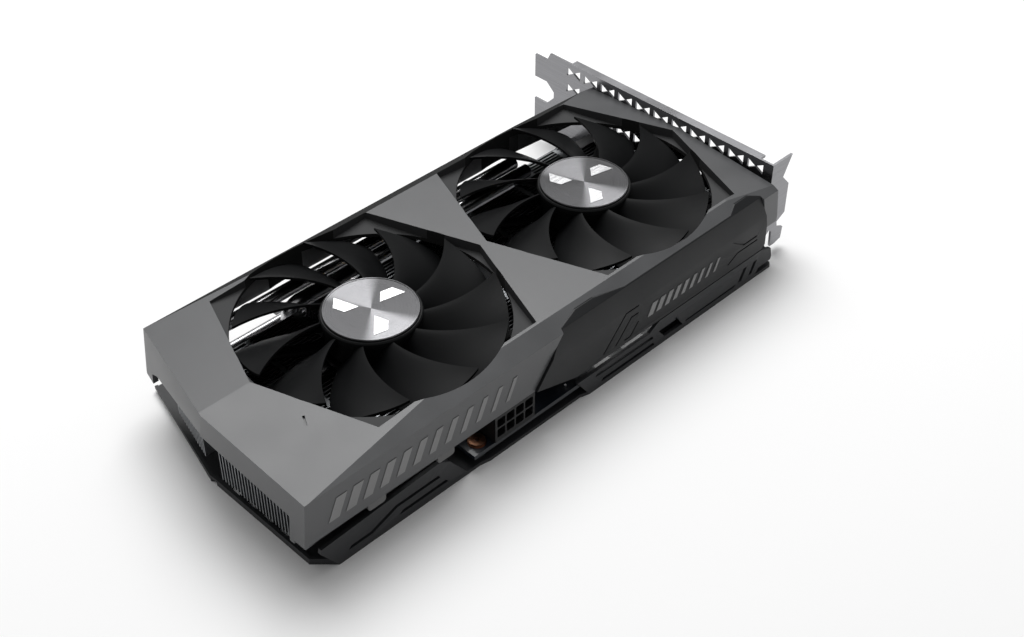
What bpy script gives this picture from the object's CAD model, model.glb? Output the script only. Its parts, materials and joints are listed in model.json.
# %% [markdown]
# # A two-fan graphics card
# The card's shapes come from its CAD model, which is loaded here as a fixed frame. This script adds the
# camera, the light and the floor, gives every part its finish, and models again the parts whose soft
# moulded edges matter to how they catch the light.

# %% Load the card
import json
from math import hypot, radians

import bmesh
import bpy
from mathutils import Matrix, Vector


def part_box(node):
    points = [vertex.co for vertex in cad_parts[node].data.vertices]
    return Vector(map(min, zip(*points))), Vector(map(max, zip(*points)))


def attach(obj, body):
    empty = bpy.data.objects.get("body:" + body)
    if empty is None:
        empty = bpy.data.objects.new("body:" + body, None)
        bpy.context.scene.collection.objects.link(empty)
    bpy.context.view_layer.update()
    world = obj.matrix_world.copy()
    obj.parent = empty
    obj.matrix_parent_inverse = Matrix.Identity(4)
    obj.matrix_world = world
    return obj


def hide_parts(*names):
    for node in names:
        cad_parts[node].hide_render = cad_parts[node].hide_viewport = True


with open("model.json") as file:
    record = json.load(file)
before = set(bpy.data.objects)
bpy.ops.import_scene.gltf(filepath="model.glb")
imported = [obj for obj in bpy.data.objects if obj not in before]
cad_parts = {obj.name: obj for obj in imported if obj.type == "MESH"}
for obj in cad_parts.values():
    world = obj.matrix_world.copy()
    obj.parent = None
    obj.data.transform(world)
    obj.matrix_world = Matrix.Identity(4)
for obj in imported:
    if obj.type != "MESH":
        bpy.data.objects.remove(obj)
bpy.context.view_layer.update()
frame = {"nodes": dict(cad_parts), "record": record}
nodes = frame["nodes"]
MM = 0.001
print("parts in the CAD model:", len(nodes))

# %% [markdown]
# ## Camera
# A product view from above the plain end of the card, looking along it towards the bracket. The camera is
# placed by where it stands and the direction it looks, and it is rolled by a fraction of a degree. A longish
# lens keeps the far end from shrinking too much.

# %% Place the camera
CAMERA_SPOT = Vector((-0.2821, -0.3102, 0.3507))
LOOK = Vector((0.5423, 0.5398, -0.6438))
ROLL = radians(0.19)
LENS = 53.26

camera_data = bpy.data.cameras.new("camera")
camera_data.sensor_width = 36
camera_data.lens = LENS
camera = bpy.data.objects.new("camera", camera_data)
turn = LOOK.to_track_quat("-Z", "Y").to_matrix().to_4x4() @ Matrix.Rotation(ROLL, 4, "Z")
camera.matrix_world = Matrix.Translation(CAMERA_SPOT) @ turn
bpy.context.collection.objects.link(camera)
bpy.context.scene.camera = camera
print("camera looks along", [round(c, 4) for c in camera.matrix_world.to_quaternion() @ Vector((0, 0, -1))])

# %% [markdown]
# ## Floor and light
# The card lies on a white sweep. The top faces differ by only a few degrees, so what parts their tones is
# what each one mirrors: a bright softbox high beyond the card fills the mirror of the near faces and just
# misses that of the far ones. A wide lamp straight above lights the floor and leaves the side walls darker,
# and the room is dim.


# %% Floor
def plain_material(name, colour, roughness):
    """A Principled material with one colour, for things that aren't part of the card."""
    material = bpy.data.materials.new(name)
    material.use_nodes = True
    shader = material.node_tree.nodes["Principled BSDF"]
    shader.inputs["Base Color"].default_value = (*colour, 1)
    shader.inputs["Roughness"].default_value = roughness
    return material


floor_mesh = bmesh.new()
bmesh.ops.create_grid(floor_mesh, x_segments=1, y_segments=1, size=6.0)
floor_data = bpy.data.meshes.new("floor")
floor_mesh.to_mesh(floor_data)
floor_mesh.free()
floor = bpy.data.objects.new("floor", floor_data)
floor.data.materials.append(plain_material("floor_paper", (0.93, 0.93, 0.93), 0.9))
bpy.context.collection.objects.link(floor)
print("floor", floor.dimensions[:])

# %% Lamps
world = bpy.data.worlds.new("studio")
world.use_nodes = True
room = world.node_tree.nodes["Background"]
room.inputs["Color"].default_value = (1, 1, 1, 1)
room.inputs["Strength"].default_value = 0.3
bpy.context.scene.world = world
bpy.context.scene.view_settings.view_transform = "Standard"


def lamp(name, spot, width, depth, power):
    """A soft rectangular lamp that faces the middle of the card."""
    data = bpy.data.lights.new(name, "AREA")
    data.shape = "RECTANGLE"
    data.size = width
    data.size_y = depth
    data.energy = power
    light = bpy.data.objects.new(name, data)
    aim = (Vector((0, 0, 0.03)) - Vector(spot)).to_track_quat("-Z", "Y")
    light.matrix_world = Matrix.Translation(spot) @ aim.to_matrix().to_4x4()
    bpy.context.collection.objects.link(light)
    return light


lamp("softbox", (0.42, 0.5, 1.13), 0.95, 0.95, 12)
lamp("wide", (0.2, 0.4, 1.3), 1.4, 1.4, 8)

# %% [markdown]
# ## Shared effects
# Several finishes need the same few effects, so each is a shader node group, built once: a fine grain as
# moulding tools leave on plastic, fine parallel scratches as brushing leaves on metal, and the fine circles
# that a lathe leaves.


# %% Helpers for node groups
def new_group(name, inputs, outputs):
    """An empty shader node group with float inputs and the outputs named."""
    group = bpy.data.node_groups.new(name, "ShaderNodeTree")
    for label, value in inputs:
        socket = group.interface.new_socket(label, in_out="INPUT", socket_type="NodeSocketFloat")
        socket.default_value = value
    for label in outputs:
        group.interface.new_socket(label, in_out="OUTPUT", socket_type="NodeSocketFloat")
    return group, group.nodes.new("NodeGroupInput"), group.nodes.new("NodeGroupOutput")


def math_node(tree, operation, first, second, clamp=False):
    """A Math node; each value is a socket or a number."""
    node = tree.nodes.new("ShaderNodeMath")
    node.operation = operation
    node.use_clamp = clamp
    for slot, value in zip(node.inputs, (first, second)):
        if isinstance(value, (int, float)):
            slot.default_value = value
        else:
            tree.links.new(value, slot)
    return node.outputs[0]


# %% Moulded grain
def moulded_grain():
    """Fine pebbled surface: a height for bump and a soft patchiness for roughness."""
    group, given, out = new_group(
        "moulded_grain", [("Scale", 2500.0), ("Patch", 60.0)], ["Height", "Patches"]
    )
    place = group.nodes.new("ShaderNodeTexCoord")
    pebbles = group.nodes.new("ShaderNodeTexNoise")
    pebbles.inputs["Detail"].default_value = 3
    patches = group.nodes.new("ShaderNodeTexNoise")
    patches.inputs["Detail"].default_value = 4
    group.links.new(place.outputs["Object"], pebbles.inputs["Vector"])
    group.links.new(place.outputs["Object"], patches.inputs["Vector"])
    group.links.new(given.outputs["Scale"], pebbles.inputs["Scale"])
    group.links.new(given.outputs["Patch"], patches.inputs["Scale"])
    group.links.new(pebbles.outputs["Fac"], out.inputs["Height"])
    group.links.new(patches.outputs["Fac"], out.inputs["Patches"])
    return group


GRAIN = moulded_grain()
print("group", GRAIN.name)


# %% Brushed lines
def brushed_lines():
    """Streaks along one axis: noise squeezed across the brushing and drawn out along it."""
    group, given, out = new_group(
        "brushed_lines", [("Along X", 40.0), ("Along Y", 40.0), ("Along Z", 3000.0)], ["Height", "Streaks"]
    )
    place = group.nodes.new("ShaderNodeTexCoord")
    squeeze = group.nodes.new("ShaderNodeVectorMath")
    squeeze.operation = "MULTIPLY"
    factors = group.nodes.new("ShaderNodeCombineXYZ")
    for axis in "XYZ":
        group.links.new(given.outputs[f"Along {axis}"], factors.inputs[axis])
    group.links.new(place.outputs["Object"], squeeze.inputs[0])
    group.links.new(factors.outputs[0], squeeze.inputs[1])
    streaks = group.nodes.new("ShaderNodeTexNoise")
    streaks.inputs["Scale"].default_value = 1
    streaks.inputs["Detail"].default_value = 2
    group.links.new(squeeze.outputs[0], streaks.inputs["Vector"])
    group.links.new(streaks.outputs["Fac"], out.inputs["Height"])
    group.links.new(streaks.outputs["Fac"], out.inputs["Streaks"])
    return group


BRUSHED = brushed_lines()
print("group", BRUSHED.name)


# %% Turned rings
def turned_rings():
    """Fine circles about a spindle, as a lathe leaves on a disc's face."""
    group, given, out = new_group(
        "turned_rings", [("Centre X", 0.0), ("Centre Y", 0.0), ("Rings", 9000.0)], ["Height", "Streaks"]
    )
    place = group.nodes.new("ShaderNodeTexCoord")
    centre = group.nodes.new("ShaderNodeCombineXYZ")
    group.links.new(given.outputs["Centre X"], centre.inputs["X"])
    group.links.new(given.outputs["Centre Y"], centre.inputs["Y"])
    shift = group.nodes.new("ShaderNodeVectorMath")
    shift.operation = "SUBTRACT"
    group.links.new(place.outputs["Object"], shift.inputs[0])
    group.links.new(centre.outputs[0], shift.inputs[1])
    flat = group.nodes.new("ShaderNodeVectorMath")
    flat.operation = "MULTIPLY"
    flat.inputs[1].default_value = (1, 1, 0)
    group.links.new(shift.outputs[0], flat.inputs[0])
    reach = group.nodes.new("ShaderNodeVectorMath")
    reach.operation = "LENGTH"
    group.links.new(flat.outputs[0], reach.inputs[0])
    ring_place = math_node(group, "MULTIPLY", reach.outputs["Value"], given.outputs["Rings"])
    rings = group.nodes.new("ShaderNodeTexNoise")
    rings.noise_dimensions = "1D"
    rings.inputs["Scale"].default_value = 1
    rings.inputs["Detail"].default_value = 3
    group.links.new(ring_place, rings.inputs["W"])
    group.links.new(rings.outputs["Fac"], out.inputs["Height"])
    group.links.new(rings.outputs["Fac"], out.inputs["Streaks"])
    return group


RINGS = turned_rings()
print("group", RINGS.name)

# %% [markdown]
# ## Finishes
# A finish starts from a colour, a roughness and a metalness, and one of the groups above varies the
# roughness and colour a little and raises a fine bump. The record of the CAD model names a slot for each
# part, and the finish is looked up by that slot. Black mouldings get a low specular level, because a bright
# studio would turn them grey. The shroud's finish also reads a value kept on its faces, which is set further
# down.


# %% A finish
def place_group(tree, group, settings):
    """Puts a node group into a material with its own values."""
    node = tree.nodes.new("ShaderNodeGroup")
    node.node_tree = group
    for label, value in settings.items():
        node.inputs[label].default_value = value
    return node


def vary(tree, mask, low, high):
    """Maps a mask onto a range of values."""
    spread = tree.nodes.new("ShaderNodeMapRange")
    spread.inputs["From Min"].default_value = 0.3
    spread.inputs["From Max"].default_value = 0.7
    spread.inputs["To Min"].default_value = low
    spread.inputs["To Max"].default_value = high
    tree.links.new(mask, spread.inputs["Value"])
    return spread.outputs["Result"]


def shade_surface(tree, colour, roughness):
    """Darkens and roughens a finish by the piece's own "shade" attribute, which is kept on its faces."""
    shade = tree.nodes.new("ShaderNodeAttribute")
    shade.attribute_name = "shade"
    darker = tree.nodes.new("ShaderNodeMix")
    darker.data_type = "RGBA"
    darker.inputs["A"].default_value = (0, 0, 0, 1)
    tree.links.new(colour, darker.inputs["B"])
    tree.links.new(shade.outputs["Fac"], darker.inputs["Factor"])
    polish = math_node(tree, "SUBTRACT", 1.0, roughness)
    kept_polish = math_node(tree, "MULTIPLY", polish, shade.outputs["Fac"])
    return darker.outputs["Result"], math_node(tree, "SUBTRACT", 1.0, kept_polish)


def finish(
    name,
    colour,
    rough,
    metal=0.0,
    group=None,
    settings=None,
    bump=0.0,
    depth=0.00005,
    tint=0.08,
    coat=0.0,
    gloss=0.5,
    shaded=False,
):
    """One finish: colour and roughness that drift with the group's mask, and its height as bump."""
    material = bpy.data.materials.new(name)
    material.use_nodes = True
    tree = material.node_tree
    shader = tree.nodes["Principled BSDF"]
    shader.inputs["Metallic"].default_value = metal
    shader.inputs["Coat Weight"].default_value = coat
    shader.inputs["Specular IOR Level"].default_value = gloss
    effect = place_group(tree, group or GRAIN, settings or {})
    height, mask = effect.outputs[0], effect.outputs[1]
    blend = tree.nodes.new("ShaderNodeMix")
    blend.data_type = "RGBA"
    blend.inputs["A"].default_value = (*[c * (1 - tint) for c in colour], 1)
    blend.inputs["B"].default_value = (*[min(1, c * (1 + tint)) for c in colour], 1)
    tree.links.new(vary(tree, mask, 0, 1), blend.inputs["Factor"])
    surface = blend.outputs["Result"], vary(tree, mask, rough * 0.9, min(1, rough * 1.1))
    if shaded:
        surface = shade_surface(tree, *surface)
    tree.links.new(surface[0], shader.inputs["Base Color"])
    tree.links.new(surface[1], shader.inputs["Roughness"])
    if bump:
        relief = tree.nodes.new("ShaderNodeBump")
        relief.inputs["Strength"].default_value = bump
        relief.inputs["Distance"].default_value = depth
        tree.links.new(height, relief.inputs["Height"])
        tree.links.new(relief.outputs["Normal"], shader.inputs["Normal"])
    return material


# %% Plastics
FINISHES = {
    "shroud_plastic": finish("shroud_plastic", (0.072, 0.0735, 0.0765), 0.37, bump=0.2, shaded=True),
    "cover_plastic": finish("cover_plastic", (0.009, 0.0095, 0.0105), 0.45, bump=0.2, gloss=0.25),
    "clip_plastic": finish("clip_plastic", (0.1, 0.1, 0.1), 0.5),
    "mark_print": finish("mark_print", (0.2, 0.2, 0.2), 0.5),
    "blade_plastic": finish("blade_plastic", (0.0055, 0.0058, 0.0062), 0.46, bump=0.1, gloss=0.13),
    "frame_plastic": finish("frame_plastic", (0.006, 0.006, 0.0065), 0.5, gloss=0.25),
    "socket_plastic": finish("socket_plastic", (0.007, 0.007, 0.0075), 0.45, gloss=0.3),
    "chip_black": finish("chip_black", (0.01, 0.01, 0.011), 0.5, gloss=0.3),
    "lead_sleeve": finish("lead_sleeve", (0.008, 0.008, 0.008), 0.6, gloss=0.3),
    "header_plastic": finish("header_plastic", (0.6, 0.58, 0.52), 0.45),
    "choke_ferrite": finish("choke_ferrite", (0.05, 0.05, 0.052), 0.6, bump=0.4),
    "magnet": finish("magnet", (0.04, 0.038, 0.036), 0.6, bump=0.4),
}
print("plastics", len(FINISHES))

# %% Metals and boards
DARK_LINES = {"Along X": 60.0, "Along Y": 60.0, "Along Z": 2500.0}
LONG_LINES = {"Along X": 60.0, "Along Y": 2500.0, "Along Z": 2500.0}
FINISHES |= {
    "backplate_metal": finish("backplate_metal", (0.024, 0.025, 0.027), 0.46, bump=0.25, gloss=0.3),
    "bracket_steel": finish("bracket_steel", (0.25, 0.25, 0.26), 0.3, 1.0, BRUSHED, DARK_LINES, 0.1),
    "fin_aluminium": finish("fin_aluminium", (0.28, 0.29, 0.3), 0.36, 1.0, BRUSHED, DARK_LINES, 0.1),
    "pipe_nickel": finish("pipe_nickel", (0.55, 0.55, 0.56), 0.24, 1.0, BRUSHED, LONG_LINES, 0.1),
    "plate_nickel": finish("plate_nickel", (0.5, 0.5, 0.51), 0.3, 1.0, BRUSHED, LONG_LINES, 0.1),
    "port_steel": finish("port_steel", (0.14, 0.14, 0.14), 0.36, 1.0, BRUSHED, LONG_LINES, 0.1),
    "shaft_steel": finish("shaft_steel", (0.5, 0.5, 0.5), 0.25, 1.0, BRUSHED, DARK_LINES, 0.1),
    "screw_steel": finish("screw_steel", (0.2, 0.2, 0.205), 0.35, 1.0, BRUSHED, LONG_LINES, 0.1),
    "core_iron": finish("core_iron", (0.2, 0.2, 0.21), 0.4, 1.0, BRUSHED, DARK_LINES, 0.2),
    "coil_copper": finish("coil_copper", (0.55, 0.22, 0.1), 0.3, 1.0, BRUSHED, DARK_LINES, 0.3),
    "bearing_bronze": finish("bearing_bronze", (0.5, 0.33, 0.16), 0.35, 1.0),
    "emblem_metal": finish("emblem_metal", (0.6, 0.6, 0.61), 0.24, 1.0, BRUSHED, LONG_LINES, 0.05),
    "can_aluminium": finish("can_aluminium", (0.55, 0.55, 0.56), 0.3, 1.0, BRUSHED, DARK_LINES, 0.1),
    "contact_gold": finish("contact_gold", (0.72, 0.47, 0.15), 0.24, 1.0),
    "pin_plating": finish("pin_plating", (0.6, 0.57, 0.5), 0.26, 1.0),
    "ring_copper": finish("ring_copper", (0.3, 0.15, 0.09), 0.3, 1.0),
    "board_lacquer": finish("board_lacquer", (0.006, 0.009, 0.014), 0.32, bump=0.15, coat=0.3),
    "drive_board": finish("drive_board", (0.01, 0.03, 0.02), 0.35, coat=0.3),
    "chip_carrier": finish("chip_carrier", (0.015, 0.03, 0.02), 0.4),
    "chip_silicon": finish("chip_silicon", (0.05, 0.055, 0.065), 0.12),
}
print("finishes", len(FINISHES))


# %% [markdown]
# ## Hub discs
# Each fan's hub carries a turned metal disc. Turning leaves fine circles, and a lamp shows in them as two
# bright wedges that meet at the middle. The circles are bump and roughness centred on that fan's spindle.
# They are too fine to be traced one by one, so the wedges are a mask made from the angle about the spindle.


# %% Wedges of light
def light_wedges():
    """Two opposite wedges about a spindle, with soft sides, as a value from 0 to 1."""
    group, given, out = new_group(
        "light_wedges", [("Centre X", 0.0), ("Centre Y", 0.0), ("Facing", 1.4)], ["Wedges"]
    )
    place = group.nodes.new("ShaderNodeTexCoord")
    apart = group.nodes.new("ShaderNodeSeparateXYZ")
    group.links.new(place.outputs["Object"], apart.inputs[0])
    along = math_node(group, "SUBTRACT", apart.outputs["X"], given.outputs["Centre X"])
    across = math_node(group, "SUBTRACT", apart.outputs["Y"], given.outputs["Centre Y"])
    angle = math_node(group, "ARCTAN2", across, along)
    turned = math_node(group, "SUBTRACT", angle, given.outputs["Facing"])
    doubled = math_node(group, "MULTIPLY", turned, 2.0)
    wave = math_node(group, "COSINE", doubled, 0.0)
    soft = group.nodes.new("ShaderNodeMapRange")
    soft.interpolation_type = "SMOOTHSTEP"
    soft.inputs["From Min"].default_value = 0.0
    soft.inputs["From Max"].default_value = 0.75
    group.links.new(wave, soft.inputs["Value"])
    group.links.new(soft.outputs["Result"], out.inputs["Wedges"])
    return group


WEDGES = light_wedges()
print("group", WEDGES.name)


# %% Disc finishes
def spindle(side):
    """The middle of one fan, from its hub disc's box."""
    low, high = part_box(f"hub_disc_{side}")
    return (Vector(low) + Vector(high)) / 2


def wedge_light(material, middle, dull, bright):
    """Brightens a finish's colour inside the wedges, and dulls it between them."""
    tree = material.node_tree
    shader = tree.nodes["Principled BSDF"]
    base = shader.inputs["Base Color"].links[0].from_socket
    wedges = place_group(tree, WEDGES, {"Centre X": middle.x, "Centre Y": middle.y})
    level = tree.nodes.new("ShaderNodeMapRange")
    level.inputs["To Min"].default_value = dull
    level.inputs["To Max"].default_value = bright
    tree.links.new(wedges.outputs["Wedges"], level.inputs["Value"])
    lit = tree.nodes.new("ShaderNodeMix")
    lit.data_type = "RGBA"
    lit.inputs["A"].default_value = (0, 0, 0, 1)
    tree.links.new(base, lit.inputs["B"])
    tree.links.new(level.outputs["Result"], lit.inputs["Factor"])
    tree.links.new(lit.outputs["Result"], shader.inputs["Base Color"])


DISC_FINISHES = {}
for side in ("left", "right"):
    middle = spindle(side)
    ring_settings = {"Centre X": middle.x, "Centre Y": middle.y, "Rings": 16000.0}
    DISC_FINISHES[side] = finish(
        f"disc_{side}", (0.2, 0.2, 0.207), 0.28, 1.0, RINGS, ring_settings, 0.5, 0.00003, tint=0.2
    )
    wedge_light(DISC_FINISHES[side], middle, dull=0.3, bright=1.0)
    print(side, "spindle", [round(c, 4) for c in middle])

# %% Give every part its finish
SLOT_OF = {row["node"]: row["material_slot"] for row in frame["record"]["subparts"]}


def dress(piece, node):
    """Puts the finish for a CAD part onto an object."""
    side = node.rsplit("_", 1)[-1]
    material = DISC_FINISHES[side] if node.startswith("hub_disc") else FINISHES[SLOT_OF[node]]
    piece.data.materials.clear()
    piece.data.materials.append(material)


for node, part in nodes.items():
    dress(part, node)
print("dressed", len(nodes))

# %% [markdown]
# ## Softened edges
# A moulding or a folded sheet never has a knife edge: a small round runs along each corner and catches a
# thin line of light. The CAD shapes are sharp, so each of these parts is copied, its doubled points are
# merged, flat faces are joined up, and a Bevel modifier rounds the corners that turn more than a set angle.
# The broad facets meet at very flat angles, so their creases are marked sharp to keep them crisp.
# The shroud is also the one part whose tone changes from place to place, so a value for how dark each face
# is goes onto the faces themselves, where the shroud's finish reads it.

# %% How dark each face of the shroud is
FAN_MIDDLES = [spindle("left"), spindle("right")]
OPENING = 46.4 * MM
LEDGE_REACH = 54.5 * MM
LEDGE_TOP = 35.45 * MM
FAR_EDGE = 25 * MM
DARK, DIM, FULL = 0.04, 0.4, 1.0
SLOT_MIDDLE = Vector((-94.7, -36.6, 36.5)) * MM
SLOT_REACH = 4 * MM


def shroud_shade(face):
    """Near black inside the hollow, in the fan openings and on the far bevel, dim on the ledges."""
    middle = face.calc_center_median()
    reach = min(max(hypot(v.co.x - fan.x, v.co.y - fan.y) for v in face.verts) for fan in FAN_MIDDLES)
    if face.normal.z < -0.3 or reach < OPENING:
        return DARK
    if face.normal.y > 0.4 and face.normal.z > 0.5 and middle.y > FAR_EDGE:
        return DARK
    if middle.z < LEDGE_TOP and reach < LEDGE_REACH and face.normal.z > 0.8:
        return DIM
    if abs(face.normal.z) < 0.5 and reach < LEDGE_REACH:
        return DIM
    return FULL


def plain_shade(face):
    """The same tone all over."""
    return FULL


# %% Copy a part and round its edges
BROAD = 0.8
FLAT_CREASE = radians(1.5)
STEEP_CREASE = radians(25)
CORNER = radians(28)
FLAT_JOIN = radians(0.6)
SAME_POINT = 0.004 * MM


def is_crease(edge):
    """True where two broad facets meet at a flat angle, or two faces at a steeper one."""
    if len(edge.link_faces) != 2:
        return True
    one, other = edge.link_faces
    turn = one.normal.angle(other.normal, 0)
    broad = abs(one.normal.z) > BROAD and abs(other.normal.z) > BROAD
    return turn > (FLAT_CREASE if broad else STEEP_CREASE)


def needs_round(edge):
    """1 where two faces meet at a corner, apart from the narrow slot on the shroud, or else 0."""
    middle = (edge.verts[0].co + edge.verts[1].co) / 2
    if len(edge.link_faces) != 2 or (middle - SLOT_MIDDLE).length < SLOT_REACH:
        return 0.0
    one, other = edge.link_faces
    return float(one.normal.angle(other.normal, 0) > CORNER)


def softened(node, body, width, shade=plain_shade):
    """A copy of a CAD part with small rounds along its corners, standing for that part."""
    shape = bmesh.new()
    shape.from_mesh(nodes[node].data)
    bmesh.ops.remove_doubles(shape, verts=shape.verts, dist=SAME_POINT)
    bmesh.ops.dissolve_limit(
        shape, angle_limit=FLAT_JOIN, verts=shape.verts, edges=shape.edges, use_dissolve_boundaries=False
    )
    shape.normal_update()
    tone = shape.faces.layers.float.new("shade")
    rounded = shape.edges.layers.float.new("bevel_weight_edge")
    for face in shape.faces:
        face.smooth = True
        face[tone] = shade(face)
    for edge in shape.edges:
        edge.smooth = not is_crease(edge)
        edge[rounded] = needs_round(edge)
    data = bpy.data.meshes.new(f"{node}_soft")
    shape.to_mesh(data)
    shape.free()
    piece = bpy.data.objects.new(f"{node}_soft", data)
    bpy.context.collection.objects.link(piece)
    rounding = piece.modifiers.new("rounding", "BEVEL")
    rounding.width = width
    rounding.segments = 2
    rounding.limit_method = "WEIGHT"
    rounding.harden_normals = True
    rounding.miter_outer = "MITER_ARC"
    dress(piece, node)
    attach(piece, body)
    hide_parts(node)
    print(node, "faces", len(data.polygons))
    return piece


softened("shroud", "card", 0.35 * MM, shroud_shade)
softened("side_cover", "card", 0.3 * MM)
softened("backplate", "card", 0.2 * MM)

# %% [markdown]
# ## Measure and finish
# The box around the finished card is kept beside the CAD model's box, so that the two can be compared.

# %% Finish
bpy.context.view_layer.update()
